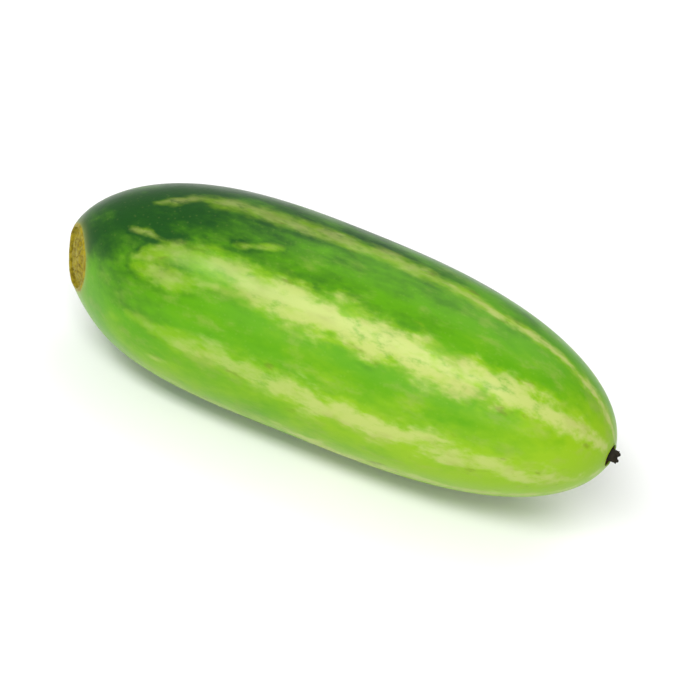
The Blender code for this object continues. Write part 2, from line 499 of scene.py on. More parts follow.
def smooth_through(rows, count):
    """Points on a smooth curve through the rows, evenly spread over them."""
    rows = np.array(rows, float)
    padded = np.vstack([2 * rows[0] - rows[1], rows, 2 * rows[-1] - rows[-2]])
    out = []
    for t in np.linspace(0, len(rows) - 1, count):
        i = min(int(t), len(rows) - 2)
        f = t - i
        a, b, c, d = padded[i : i + 4]
        bent = 2 * b + (c - a) * f + (2 * a - 5 * b + 4 * c - d) * f**2
        out.append(0.5 * (bent + (3 * (b - c) + d - a) * f**3))
    return out


def outline():
    """The fruit's outline from the scar's middle to the pit's floor, one row for each ring.

    Each row has the distance along the middle line, the radius, and how much of the ring is cork, lip
    and pit."""
    length, scar, pit = sizes().length, sizes().scar_radius, sizes().pit_radius
    scar_at = share_where_radius(scar * SCAR_OUTLINE[-1][0], 0.0, sizes().widest_at)
    pit_at = share_where_radius(pit + sizes().pit_rim, 1.0, sizes().widest_at)
    edge_cork, edge_lip = SCAR_OUTLINE[-1][2:]
    rows = []
    for reach, height, cork, lip in smooth_through(SCAR_OUTLINE, SCAR_RINGS)[:-1]:
        rows.append((scar_at * length - mm(height), max(reach, 0) * scar, cork, lip, 0.0))
    for i in range(BODY_RINGS + 1):
        # Even steps of this angle crowd the rings towards the two ends, where the fruit turns in.
        turn = END_ANGLE + (math.pi - 2 * END_ANGLE) * i / BODY_RINGS
        spread = (math.cos(END_ANGLE) - math.cos(turn)) / (2 * math.cos(END_ANGLE))
        share = scar_at + (pit_at - scar_at) * spread
        cork = edge_cork * math.exp(-(share - scar_at) * length / mm(CORK_FADE))
        lip = edge_lip * math.exp(-(share - scar_at) * length / mm(LIP_FADE))
        browning = PIT_EDGE_BROWN * math.exp(-(pit_at - share) * length / mm(PIT_FADE))
        rows.append((share * length, radius(share), cork, lip, browning))
    # Browner and darker towards the pit's floor
    for reach, height in smooth_through(PIT_OUTLINE, PIT_RINGS)[1:]:
        browning = PIT_EDGE_BROWN + max(-height, 0) * PIT_BROWN_GROWTH
        rows.append((pit_at * length + mm(height), max(reach, 0) * pit, 0.0, 0.0, browning))
    return rows, scar_at, pit_at


def outline_mesh(rows, columns):
    """The rows as the points of a mesh, which a tree reads by their number: along at x, reach at z."""
    mesh = bpy.data.meshes.new("outline")
    mesh.from_pydata([(row[0], 0, row[1]) for row in rows], [], [])
    for number, name in enumerate(columns, 2):
        store(mesh, name, [min(max(row[number], 0), 1) for row in rows])
    return mesh


class Sweep:
    """The start of a tree that turns an outline mesh round a line: a grid, with its rings and angles."""

    def __init__(self, tree, given):
        self.tree = tree
        self.host = given["Geometry"]
        columns = maths(tree, "ADD", given["Sides"], 1.0)
        grid = add(tree, "GeometryNodeMeshGrid", {
            "Size X": 1.0, "Size Y": 1.0, "Vertices X": given["Rings"], "Vertices Y": columns,
        })
        index = add(tree, "GeometryNodeInputIndex").outputs[0]
        self.ring = maths(tree, "FLOOR", maths(tree, "DIVIDE", maths(tree, "ADD", index, 0.5), columns))
        side = maths(tree, "SUBTRACT", index, maths(tree, "MULTIPLY", self.ring, columns))
        side = maths(tree, "FLOORED_MODULO", side, given["Sides"])
        self.angle = maths(tree, "DIVIDE", maths(tree, "MULTIPLY", side, math.tau), given["Sides"])
        self.position = add(tree, "GeometryNodeInputPosition").outputs[0]
        row = add(tree, "ShaderNodeSeparateXYZ", {0: self.sampled(self.position, "FLOAT_VECTOR")}).outputs
        self.along, self.reach = row["X"], row["Z"]
        self.geometry = grid.outputs["Mesh"]
        self.store("UVMap", grid.outputs["UV Map"], "FLOAT2", "CORNER")

    def sampled(self, field, kind="FLOAT"):
        """The value that the outline has at this ring."""
        inputs = {"Geometry": self.host, "Value": field, "Index": self.ring}
        return add(self.tree, "GeometryNodeSampleIndex", inputs, data_type=kind, domain="POINT").outputs[0]

    def named(self, name):
        return add(self.tree, "GeometryNodeInputNamedAttribute", {"Name": name}, data_type="FLOAT").outputs[0]

    def store(self, name, value, kind="FLOAT", domain="POINT"):
        inputs = {"Geometry": self.geometry, "Name": name, "Value": value}
        made = add(self.tree, "GeometryNodeStoreNamedAttribute", inputs, data_type=kind, domain=domain)
        self.geometry = made.outputs[0]

    def carry(self, *names):
        """Copies the outline's own attributes to the swept mesh."""
        for name in names:
            self.store(name, self.sampled(self.named(name)))

    def place(self, **inputs):
        inputs["Geometry"] = self.geometry
        self.geometry = add(self.tree, "GeometryNodeSetPosition", inputs).outputs[0]

    def close(self):
        """Joins the seam and the poles, and turns the faces outwards."""
        joined = add(self.tree, "GeometryNodeMergeByDistance", {"Geometry": self.geometry, "Distance": 1e-6})
        self.geometry = add(self.tree, "GeometryNodeFlipFaces", {0: joined.outputs[0]}).outputs[0]

    def waves(self, rows):
        """The sum of the waves round the fruit, at each angle."""
        total = 0.0
        for count, height, phase in rows:
            turned = maths(self.tree, "MULTIPLY_ADD", self.angle, float(count), phase)
            total = maths(self.tree, "MULTIPLY_ADD", maths(self.tree, "COSINE", turned), height, total)
        return total

    def noise(self, seed, scale, detail, stretch=(1.0, 1.0, 1.0)):
        seeded = vectors(self.tree, "ADD", vectors(self.tree, "MULTIPLY", self.position, stretch), seed)
        inputs = {"Vector": seeded, "Scale": scale, "Detail": detail, "Roughness": 0.55}
        return add(self.tree, "ShaderNodeTexNoise", inputs).outputs[0]

    def cracks(self, seed, scale, width):
        """1 along the borders of cells and 0 away from them."""
        push = scaled(self.tree, self.shift(seed, scale * 2), 0.7 / scale)
        inputs = {"Vector": vectors(self.tree, "ADD", self.position, push), "Scale": scale}
        cells = add(self.tree, "ShaderNodeTexVoronoi", inputs, feature="DISTANCE_TO_EDGE")
        return between(self.tree, cells.outputs["Distance"], width, 0.0)

    def shift(self, seed, scale):
        """A random push either way at each place."""
        seeded = vectors(self.tree, "ADD", self.position, seed)
        noise = add(self.tree, "ShaderNodeTexNoise", {"Vector": seeded, "Scale": scale, "Detail": 1.0})
        return vectors(self.tree, "SUBTRACT", noise.outputs["Color"], (0.5, 0.5, 0.5))


def rind_tree():
    """Sweeps the outline round the middle line, lays it flat underneath, and roughens the cork."""
    tree, given = shaped_tree("Sweep gourd rind", {
        "Middle Line": "NodeSocketObject",
        "Rings": "NodeSocketInt",
        "Sides": "NodeSocketInt",
        "Length": "NodeSocketFloat",
        "Scar At": "NodeSocketFloat",
        "Pit At": "NodeSocketFloat",
        "Flat Depth": "NodeSocketFloat",
        "Dent Depth": "NodeSocketFloat",
        "Cork Relief": "NodeSocketFloat",
        "Bundles": "NodeSocketInt",
        "Bundle Ring": "NodeSocketFloat",
        "Bundle Rise": "NodeSocketFloat",
        "Seed": "NodeSocketFloat",
        "Material": "NodeSocketMaterial",
    })
    sweep = Sweep(tree, given)
    share = maths(tree, "DIVIDE", sweep.along, given["Length"])
    sweep.store("share", share)
    sweep.store("turn", sweep.angle)
    sweep.carry("cork", "lip", "pit")

    # The sap channels: bumps in a ring round the scar's middle
    wave = maths(tree, "COSINE", maths(tree, "MULTIPLY", sweep.angle, given["Bundles"]))
    off_ring = maths(tree, "SUBTRACT", sweep.reach, given["Bundle Ring"])
    off_ring = maths(tree, "DIVIDE", off_ring, mm(BUNDLE_WIDTH))
    on_ring = maths(tree, "MULTIPLY", maths(tree, "MULTIPLY", off_ring, off_ring), -1.0)
    on_ring = maths(tree, "EXPONENT", on_ring)
    bundle = maths(tree, "MULTIPLY", on_ring, maths(tree, "MULTIPLY_ADD", wave, 0.5, 0.5))
    bundle = maths(tree, "MULTIPLY", bundle, sweep.sampled(sweep.named("cork")))
    sweep.store("bundle", bundle)

    # The middle line's frame at each ring
    held = maths(tree, "MINIMUM", maths(tree, "MAXIMUM", sweep.along, given["Scar At"]), given["Pit At"])
    line = add(tree, "GeometryNodeObjectInfo", {"Object": given["Middle Line"]}).outputs["Geometry"]
    on_line = add(tree, "GeometryNodeSampleCurve", {"Curves": line, "Length": held}, mode="LENGTH").outputs
    along = vectors(tree, "NORMALIZE", on_line["Tangent"])
    across = vectors(tree, "NORMALIZE", vectors(tree, "CROSS_PRODUCT", (0.0, 0.0, 1.0), along))
    up = scaled(tree, vectors(tree, "CROSS_PRODUCT", along, across), maths(tree, "COSINE", sweep.angle))
    outwards = vectors(tree, "SUBTRACT", up, scaled(tree, across, maths(tree, "SINE", sweep.angle)))

    # The faint flats round the body, which fade out towards both poles, and the uneven rims there
    fade = maths(tree, "SINE", maths(tree, "MULTIPLY", share, math.pi))
    lobe = maths(tree, "MULTIPLY", fade, sweep.waves(BODY_WAVES))
    at_rim = maths(tree, "MAXIMUM", sweep.sampled(sweep.named("cork")), sweep.sampled(sweep.named("lip")))
    at_rim = maths(tree, "MULTIPLY_ADD", sweep.sampled(sweep.named("pit")), PIT_WAVE_GAIN, at_rim, clamp=True)
    lobe = maths(tree, "MULTIPLY_ADD", at_rim, sweep.waves(RIM_WAVES), lobe)
    reach = maths(tree, "MULTIPLY", sweep.reach, maths(tree, "ADD", lobe, 1.0))

    place = vectors(tree, "ADD", on_line["Position"], scaled(tree, outwards, reach))
    beyond = maths(tree, "SUBTRACT", sweep.along, held)
    beyond = maths(tree, "SUBTRACT", beyond, maths(tree, "MULTIPLY", bundle, given["Bundle Rise"]))
    sweep.place(Position=vectors(tree, "ADD", place, scaled(tree, along, beyond)))
    sweep.close()

    # Soft hollows in the rind, always inwards, and cracked cork on the scar
    fade = maths(tree, "SINE", maths(tree, "MULTIPLY", sweep.named("share"), math.pi))
    hollows = maths(tree, "MULTIPLY", sweep.noise(given["Seed"], HOLLOW_SCALE, 1.0, (0.5, 1.0, 1.0)), fade)
    crack = sweep.cracks(given["Seed"], CRACK_SCALE, CRACK_WIDTH)
    lumps = sweep.noise(given["Seed"], CORK_LUMP_SCALE, 4.0)
    cracked = maths(tree, "MULTIPLY_ADD", crack, CRACK_WEIGHT, lumps)
    cracked = maths(tree, "MULTIPLY", cracked, between(tree, sweep.named("cork"), *FULL_CORK))
    wrinkles = sweep.noise(given["Seed"], LIP_WRINKLE_SCALE, 2.0)
    wrinkles = maths(tree, "MULTIPLY", wrinkles, sweep.named("lip"))
    rough = maths(tree, "MULTIPLY_ADD", wrinkles, LIP_WRINKLE_WEIGHT, cracked)
    sweep.store("crack", crack)
    sunk = maths(tree, "MULTIPLY", hollows, given["Dent Depth"])
    sunk = maths(tree, "MULTIPLY_ADD", rough, given["Cork Relief"], sunk)
    normal = add(tree, "GeometryNodeInputNormal").outputs[0]
    sweep.place(Offset=scaled(tree, normal, maths(tree, "MULTIPLY", sunk, -1.0)))

    # The flat spot underneath, brought down to the ground
    spot = add(tree, "ShaderNodeSeparateXYZ", {0: sweep.position}).outputs
    heights = add(tree, "GeometryNodeAttributeStatistic", {"Geometry": sweep.geometry, 2: spot["Z"]})
    level = maths(tree, "ADD", heights.outputs["Min"], given["Flat Depth"])
    height = maths(tree, "SUBTRACT", maths(tree, "MAXIMUM", spot["Z"], level), level)
    flat = add(tree, "ShaderNodeCombineXYZ", {"X": spot["X"], "Y": spot["Y"], "Z": height}).outputs[0]
    sweep.place(Position=flat)
    finish_tree(tree, sweep.geometry, given["Material"])
    return tree


def flower_tree():
    """Sweeps the dried flower's stub, creases it, and puts a ring of petal scraps on its rim."""
    tree, given = shaped_tree("Crumple dried flower", {
        "Petal": "NodeSocketObject",
        "Rings": "NodeSocketInt",
        "Sides": "NodeSocketInt",
        "Lobes": "NodeSocketInt",
        "Lobe Width": "NodeSocketFloat",
        "Crumple": "NodeSocketFloat",
        "Petal Ring": "NodeSocketFloat",
        "Petal Height": "NodeSocketFloat",
        "Seed": "NodeSocketInt",
        "Material": "NodeSocketMaterial",
    })
    sweep = Sweep(tree, given)
    wave = maths(tree, "COSINE", maths(tree, "MULTIPLY", sweep.angle, given["Lobes"]))
    skew = maths(tree, "SINE", maths(tree, "MULTIPLY_ADD", sweep.angle, 2.0, 0.7))
    lobe = maths(tree, "MULTIPLY", maths(tree, "MULTIPLY_ADD", skew, FLOWER_SKEW, wave), given["Lobe Width"])
    lobe = maths(tree, "MULTIPLY", lobe, sweep.sampled(sweep.named("ragged")))
    reach = maths(tree, "MULTIPLY", sweep.reach, maths(tree, "ADD", lobe, 1.0))
    ring = add(tree, "ShaderNodeCombineXYZ", {
        "X": maths(tree, "MULTIPLY", reach, maths(tree, "COSINE", sweep.angle)),
        "Y": maths(tree, "MULTIPLY", reach, maths(tree, "SINE", sweep.angle)),
        "Z": maths(tree, "MULTIPLY_ADD", lobe, mm(FLOWER_LOBE_RISE), sweep.along),
    }).outputs[0]
    sweep.place(Position=ring)
    sweep.close()

    # Long creases up the stub, and a finer crumple
    seed = maths(tree, "MULTIPLY", given["Seed"], 1.7)
    creases = sweep.noise(seed, CREASE_SCALE, 2.0, (1.0, 1.0, 0.35))
    crumple = maths(tree, "MULTIPLY_ADD", sweep.noise(seed, CRUMPLE_SCALE, 2.0), 0.5, creases)
    depth = maths(tree, "MULTIPLY", maths(tree, "SUBTRACT", crumple, 0.6), given["Crumple"])
    normal = add(tree, "GeometryNodeInputNormal").outputs[0]
    sweep.place(Offset=scaled(tree, normal, maths(tree, "MULTIPLY", depth, -1.0)))

    # Petal scraps, each turned and tipped by chance
    circle = add(tree, "GeometryNodeMeshCircle", {"Vertices": given["Lobes"], "Radius": given["Petal Ring"]})
    lift = add(tree, "ShaderNodeCombineXYZ", {"Z": given["Petal Height"]}).outputs[0]
    spots = add(tree, "GeometryNodeSetPosition", {"Geometry": circle.outputs[0], "Offset": lift}).outputs[0]
    facing = {"Vector": sweep.position}
    facing = add(tree, "FunctionNodeAlignRotationToVector", facing, axis="X", pivot_axis="Z").outputs[0]
    chance = {"Min": PETAL_LEAST_TURN, "Max": PETAL_MOST_TURN, "Seed": given["Seed"]}
    chance = add(tree, "FunctionNodeRandomValue", chance, data_type="FLOAT_VECTOR").outputs[0]
    tip = add(tree, "FunctionNodeEulerToRotation", {0: chance}).outputs[0]
    turned = add(tree, "FunctionNodeRotateRotation", {0: facing, 1: tip}, rotation_space="LOCAL").outputs[0]
    growth = {2: PETAL_GROWTH[0], 3: PETAL_GROWTH[1], "Seed": given["Seed"]}
    growth = add(tree, "FunctionNodeRandomValue", growth, data_type="FLOAT").outputs[1]
    scraps = add(tree, "GeometryNodeInstanceOnPoints", {
        "Points": spots,
        "Instance": add(tree, "GeometryNodeObjectInfo", {"Object": given["Petal"]}).outputs["Geometry"],
        "Rotation": turned,
        "Scale": growth,
    }).outputs[0]
    whole = add(tree, "GeometryNodeJoinGeometry")
    tree.links.new(sweep.geometry, whole.inputs[0])
    tree.links.new(scraps, whole.inputs[0])
    finish_tree(tree, whole.outputs[0], given["Material"])
    return tree


def petal_scrap():
    """One withered petal scrap: a thin pointed shell that curls over, with its root at the origin."""
    bm = bmesh.new()
    rows, columns = PETAL_ROWS, PETAL_COLUMNS
    reach, lift = mm(PETAL_REACH), mm(PETAL_THICKNESS) / 2
    sheets = []
    for side in (1, -1):
        sheet = []
        for i in range(rows):
            u = i / (rows - 1)
            half = mm(PETAL_HALF_WIDTH) * (0.55 + 1.3 * u - 1.75 * u * u)
            for j in range(columns):
                v = j / (columns - 1) * 2 - 1
                curl = 0.9 * u + 0.9 * u * u
                x = reach * math.sin(curl) + mm(0.05) * math.cos(5 * v + 3 * u)
                z = reach * (0.25 * u + 0.45 * math.sin(curl * 1.25)) + mm(0.04) * math.sin(7 * u + 4 * v)
                sheet.append(bm.verts.new((x, half * v, z + side * lift)))
        sheets.append(sheet)
    for sheet, flipped in zip(sheets, (False, True)):
        for i in range(rows - 1):
            for j in range(columns - 1):
                a = i * columns + j
                corners = [sheet[a], sheet[a + columns], sheet[a + columns + 1], sheet[a + 1]]
                bm.faces.new(corners[::-1] if flipped else corners)
    border = [i * columns for i in range(rows)]
    border += [(rows - 1) * columns + j for j in range(1, columns)]
    border += [i * columns + columns - 1 for i in range(rows - 2, -1, -1)]
    border += list(range(columns - 2, 0, -1))
    for a, b in zip(border, border[1:] + border[:1]):
        bm.faces.new((sheets[0][a], sheets[0][b], sheets[1][b], sheets[1][a]))
    bmesh.ops.recalc_face_normals(bm, faces=bm.faces)
    mesh = bpy.data.meshes.new("petal_scrap")
    bm.to_mesh(mesh)
    bm.free()
    return linked("petal_scrap", mesh)


# Where the rind is ripe, where painted shade and light lie on it, and where it is pale


def stripe_rows():
    """Every stripe as points of (share along, degrees from the top, half width in mm, paleness)."""
    draw = random.Random(sizes().seed)
    rows = [MAIN_STRIPE, MAIN_PRONG, LOW_STRIPE, TOP_STRIPE, *SHORT_STREAKS]
    step = 360 / sizes().stripes_round
    for i in range(SEEN_STRIPES, sizes().stripes_round):
        middle = HIDDEN_START + step * i + draw.uniform(-4, 4)
        width = draw.uniform(0.8, 1.5)
        pale = draw.uniform(0.5, 0.9)
        points = [(draw.uniform(0.08, 0.18), middle + draw.uniform(-5, 5), 0.2, pale * 0.1)]
        for share in HIDDEN_SHARES:
            # It starts narrow and faint near the scar.
            half = width * draw.uniform(0.55, 1.2) * min(1, 0.4 + 4 * (share - 0.18))
            fade = min(1, 0.2 + 2 * (share - 0.15))
            turn = middle + draw.uniform(-3.5, 3.5)
            points.append((share, turn, half, pale * fade * draw.uniform(0.6, 1.1)))
        points.append((0.98, middle + draw.uniform(-5, 5), 0.2, pale * 0.8))
        rows.append(tuple(points))
        for share in (draw.uniform(0.14, 0.28), draw.uniform(0.35, 0.6)):
            beside = middle - step * draw.uniform(0.35, 0.65)
            half, reach, lean = draw.uniform(0.2, 0.4), draw.uniform(0.015, 0.03), draw.uniform(-3, 3)
            start, end = (share - reach, beside - lean, 0.1, 0.1), (share + reach, beside + lean, 0.1, 0.1)
            rows.append((start, (share, beside, half, 0.35), end))
    return rows


def paint(rind):
    """Stores three values for each vertex, which the material reads.

    stripe is 0 on the nearest stripe's edge and grows inwards, paleness is that stripe's own, and
    ripeness_and_shade goes from dark green at 0 to yellow-green at 1; it holds ripeness together with
    painted shade on the top, the shoulder and the stalk end, and painted light underneath."""
    mesh = rind.data
    share = fetched(mesh, "share")
    turn = fetched(mesh, "turn")
    girth = np.interp(share, np.linspace(0, 1, 101), [radius(i / 100) * 1000 for i in range(101)])
    inside = np.full(len(share), -9.0)
    paleness = np.zeros(len(share))
    for row in stripe_rows():
        points = np.array(smooth_through(row, STRIPE_POINTS))
        middle, half, pale = (np.interp(share, points[:, 0], points[:, k]) for k in (1, 2, 3))
        beyond = np.maximum(np.maximum(points[0, 0] - share, share - points[-1, 0]), 0)
        beyond = beyond * sizes().length * 1000
        apart = np.abs((turn - np.radians(middle) + math.pi) % math.tau - math.pi) * girth
        # A narrow stripe's edge is as soft as it is narrow, or it would break up.
        reach = (half - np.hypot(apart, beyond)) / (0.3 + 0.45 * half)
        paleness = np.where(reach > inside, pale, paleness)
        inside = np.maximum(inside, reach)
    # Partly the rind's own colour, partly painted light: the top, the shoulder near the stalk and the stalk
    # end are darkened as painted shade, and the underside is lightened as painted light
    upper = (1 - np.cos(turn - LIGHTEST_TURN)) / 2
    shoulder = np.exp(-(((share - 0.12) / 0.22) ** 2)) * upper**2
    border = np.exp(-(((inside + 0.9) / 0.6) ** 2)) * upper * np.clip(1.2 - 1.3 * share, 0, 1)
    tip = np.exp(-(((1 - share) / 0.12) ** 2))
    ripeness_and_shade = RIPE_AND_LIT_BELOW + RIPE_AND_SHADE_UPPER * upper + RIPE_AND_SHADE_ALONG * (share - 0.35)
    ripeness_and_shade = ripeness_and_shade + RIPE_AND_SHADE_SHOULDER * shoulder + RIPE_BORDER * border + RIPE_TIP * tip
    store(mesh, "stripe", inside)
    store(mesh, "paleness", paleness)
    store(mesh, "ripeness_and_shade", np.maximum(ripeness_and_shade, RIPE_AND_SHADE_LEAST))


def fetched(mesh, name):
    values = np.empty(len(mesh.vertices))
    mesh.attributes[name].data.foreach_get("value", values)
    return values


def store(mesh, name, values):
    attribute = mesh.attributes.new(name, "FLOAT", "POINT")
    attribute.data.foreach_set("value", np.asarray(values, np.float32))


# Materials


def new_material(name, **constants):
    """A Principled material whose plain values sit on the shader's own sockets."""
    made = bpy.data.materials.new(name)
    made.use_nodes = True
    shader = made.node_tree.nodes["Principled BSDF"]
    for socket, value in constants.items():
        shader.inputs[socket.replace("_", " ")].default_value = value
    return made, made.node_tree, shader


def attribute(tree, name):
    return add(tree, "ShaderNodeAttribute", attribute_name=name).outputs["Fac"]


def texture(tree, kind, vector, scale, **inputs):
    values = {"Vector": vector, "Scale": scale}
    values.update({key.replace("_", " "): value for key, value in inputs.items()})
    return add(tree, kind, values).outputs


def between(tree, value, low, high):
    """0 below low, 1 above high, and a smooth step between. It falls where low is above high."""
    inputs = {"Value": value, "From Min": low, "From Max": high}
    return add(tree, "ShaderNodeMapRange", inputs, interpolation_type="SMOOTHSTEP").outputs[0]


def blend(tree, factor, first, second):
    """Mixes two colours, each a socket or three linear values."""
    inputs = {0: factor}
    for index, value in ((6, first), (7, second)):
        inputs[index] = value if isinstance(value, bpy.types.NodeSocket) else (*value, 1.0)
    return add(tree, "ShaderNodeMix", inputs, data_type="RGBA", clamp_factor=True).outputs[2]


def rind_material():
    """Waxy gourd rind: three greens, pale feathered stripes with green flecks, and the corky scar."""
    made, tree, shader = new_material(
        "waxy_rind", Coat_Weight=0.17, Coat_Roughness=0.22, Coat_IOR=1.45, IOR=1.42,
        Specular_IOR_Level=0.20, Specular_Tint=(0.80, 1.0, 0.50, 1.0),
        Sheen_Weight=0.05, Sheen_Roughness=0.30, Sheen_Tint=(0.75, 1.0, 0.45, 1.0),
        Subsurface_Weight=0.10, Subsurface_Radius=(0.7, 1.0, 0.2), Subsurface_Scale=0.0010,
    )
    tint = colours()
    where = add(tree, "ShaderNodeTexCoord").outputs["Object"]
    grain = add(tree, "ShaderNodeMapping", {"Vector": where, "Scale": (0.50, 1.0, 1.0)}).outputs[0]

    def speckle(vector, scale, detail, rough):
        """Noise about 0, mostly within a quarter either way."""
        noise = texture(tree, "ShaderNodeTexNoise", vector, scale, Detail=detail, Roughness=rough)["Fac"]
        return maths(tree, "SUBTRACT", noise, 0.5)

    def plus(value, factor, more):
        return maths(tree, "MULTIPLY_ADD", more, factor, value)

    def times(value, factor):
        return maths(tree, "MULTIPLY", value, factor)

    def mottled(value, noises):
        for *noise, strength in noises:
            value = plus(value, strength, speckle(grain, *noise))
        return value

    # Three greens, laid by ripeness with painted shade on the top and painted light underneath, with broad
    # patches and fine cells in them, dull ones and small pale dots
    ripe_and_shade = mottled(attribute(tree, "ripeness_and_shade"), RIPE_PATCHES)
    green = blend(tree, between(tree, ripe_and_shade, 0.0, 0.5), tint.dark_green, tint.leaf_green)
    green = blend(tree, between(tree, ripe_and_shade, 0.45, 1.0), green, tint.yellow_green)
    dull = times(between(tree, speckle(grain, *DULL_CELLS), 0.0, 0.22), between(tree, ripe_and_shade, 0.1, 0.5))
    green = blend(tree, times(dull, 0.32), green, tint.lip)
    dots = texture(tree, "ShaderNodeTexVoronoi", where, PALE_DOTS, Randomness=1.0)["Distance"]
    green = blend(tree, times(between(tree, dots, 0.26, 0.08), 0.05), green, tint.pale_stripe)

    # The stripes: soft, lumpy edges, a mottled pale heart and green flecks in it
    edge = mottled(attribute(tree, "stripe"), STRIPE_EDGE)
    paleness = attribute(tree, "paleness")
    bright = times(plus(0.35, 0.65, paleness), between(tree, edge, -0.7, 1.3))
    bright = between(tree, mottled(bright, STRIPE_HEART), -0.1, 1.0)
    stripe = blend(tree, bright, tint.yellow_green, tint.pale_stripe)
    buff = between(tree, speckle(grain, *BUFF_PATCHES), 0.0, 0.2)
    stripe = blend(tree, times(buff, 0.5), stripe, tint.lip)
    fleck = between(tree, speckle(grain, *GREEN_FLECKS), 0.0, 0.25)
    cover = times(between(tree, edge, -1.05, 0.95), maths(tree, "SUBTRACT", 1.0, times(fleck, 0.65)))
    cover = times(cover, plus(0.28, 0.72, paleness))
    rind = blend(tree, cover, green, stripe)
    russet = times(between(tree, edge, -1.3, -0.3), between(tree, edge, 1.0, 0.2))
    russet = times(russet, between(tree, speckle(grain, *RUSSET_SPOTS), 0.10, 0.25))
    rind = blend(tree, times(russet, 0.35), rind, tint.rust)

    # The scar's pale lip and its cracked ochre cork, and the brown pit round the dried flower
    cork = attribute(tree, "cork")
    rind = blend(tree, times(attribute(tree, "lip"), 0.75), rind, tint.lip)
    paler = between(tree, speckle(where, *CORK_PATCHES), 0.0, 0.25)
    corky = blend(tree, times(paler, 0.45), tint.cork, tint.lip)
    coarse = speckle(where, *CORK_GRAIN)
    dark = plus(attribute(tree, "crack"), 0.4, between(tree, coarse, 0.02, 0.20))
    dark = plus(times(attribute(tree, "bundle"), 0.35), 0.40, dark)
    corky = blend(tree, dark, corky, tint.rust)
    corked = between(tree, plus(cork, 0.7, speckle(where, *CORK_EDGE)), 0.25, 0.60)
    rind = blend(tree, corked, rind, corky)
    rind = blend(tree, between(tree, attribute(tree, "pit"), 0.1, 0.9), rind, tint.rust)
    tree.links.new(rind, shader.inputs["Base Color"])

    roughness = plus(plus(0.36, 0.45, cork), 0.35, speckle(where, *GLOSS_PATCHES))
    tree.links.new(roughness, shader.inputs["Roughness"])

    relief = plus(plus(speckle(where, *SKIN_PORES), 0.35, cover), 2.5, times(coarse, cork))
    bump = add(tree, "ShaderNodeBump", {"Height": relief, "Strength": 0.30, "Distance": mm(0.03)})
    tree.links.new(bump.outputs[0], shader.inputs["Normal"])
    return made


def withered_material():
    """Dry, dark, papery tissue."""
    made, tree, shader = new_material("withered_tissue", Specular_IOR_Level=0.25)
    tint = colours()
    where = add(tree, "ShaderNodeTexCoord").outputs["Object"]
    fibres = texture(tree, "ShaderNodeTexNoise", where, 5200.0, Detail=4.0, Roughness=0.7)["Fac"]
    paler = maths(tree, "MULTIPLY", between(tree, fibres, 0.50, 0.80), 0.5)
    shade = blend(tree, paler, tint.withered, tint.rust)
    tree.links.new(shade, shader.inputs["Base Color"])
    tree.links.new(maths(tree, "ADD", 0.62, maths(tree, "MULTIPLY", fibres, 0.3)), shader.inputs["Roughness"])
    bump = add(tree, "ShaderNodeBump", {"Height": fibres, "Strength": 0.6, "Distance": mm(0.06)})
    tree.links.new(bump.outputs[0], shader.inputs["Normal"])
    return made


def stage_material():
    """Matt white board with a hardly visible tooth."""
    made, tree, shader = new_material("white_board", Specular_IOR_Level=0.15)
    where = add(tree, "ShaderNodeTexCoord").outputs["Object"]
    tooth = texture(tree, "ShaderNodeTexNoise", where, 60.0, Detail=3.0)["Fac"]
    tree.links.new(blend(tree, tooth, (0.90, 0.90, 0.90), (0.92, 0.92, 0.92)), shader.inputs["Base Color"])
    tree.links.new(maths(tree, "ADD", 0.55, maths(tree, "MULTIPLY", tooth, 0.1)), shader.inputs["Roughness"])
    return made


# Building


def centre_on_node(piece, node):
    """Moves the piece's mesh level, so that the middle of its box is over the middle of the node's box."""
    low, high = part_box(node)
    points = places(piece.data)
    for axis in (0, 1):
        points[:, axis] += (low[axis] + high[axis] - points[:, axis].min() - points[:, axis].max()) / 2
    move_to(piece.data, points)


def keep_in_box(piece, node):
    """Presses back whatever stands out of the node's box."""
    move_to(piece.data, np.clip(places(piece.data), *(np.array(corner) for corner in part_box(node))))


def move_to(mesh, points):
    mesh.vertices.foreach_set("co", points.ravel())
    mesh.update()


def places(mesh):
    points = np.empty(len(mesh.vertices) * 3)
    mesh.vertices.foreach_get("co", points)
    return points.reshape(-1, 3)


class GOURD_OT_rind(bpy.types.Operator):
    """Sweep the striped rind with its corky scar over the fruit's solid"""

    bl_idname = "gourd.rind"
    bl_label = "Build Rind"

    def execute(self, context):
        rows, scar_at, pit_at = outline()
        line = middle_line()
        given = {
            "Middle Line": line, "Rings": len(rows), "Sides": SIDES, "Length": sizes().length,
            "Scar At": scar_at * sizes().length, "Pit At": pit_at * sizes().length,
            "Flat Depth": sizes().flat_depth, "Dent Depth": sizes().dent_depth,
            "Cork Relief": sizes().cork_relief, "Bundles": sizes().bundles,
            "Bundle Ring": sizes().bundle_ring, "Bundle Rise": sizes().bundle_rise,
            "Seed": float(sizes().seed), "Material": rind_material(),
        }
        rind = grown_mesh("fruit_rind", outline_mesh(rows, ("cork", "lip", "pit")), rind_tree(), given)
        bpy.data.objects.remove(line)
        centre_on_node(rind, "fruit")
        paint(rind)
        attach(rind, BODY)
        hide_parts("fruit")
        return {"FINISHED"}


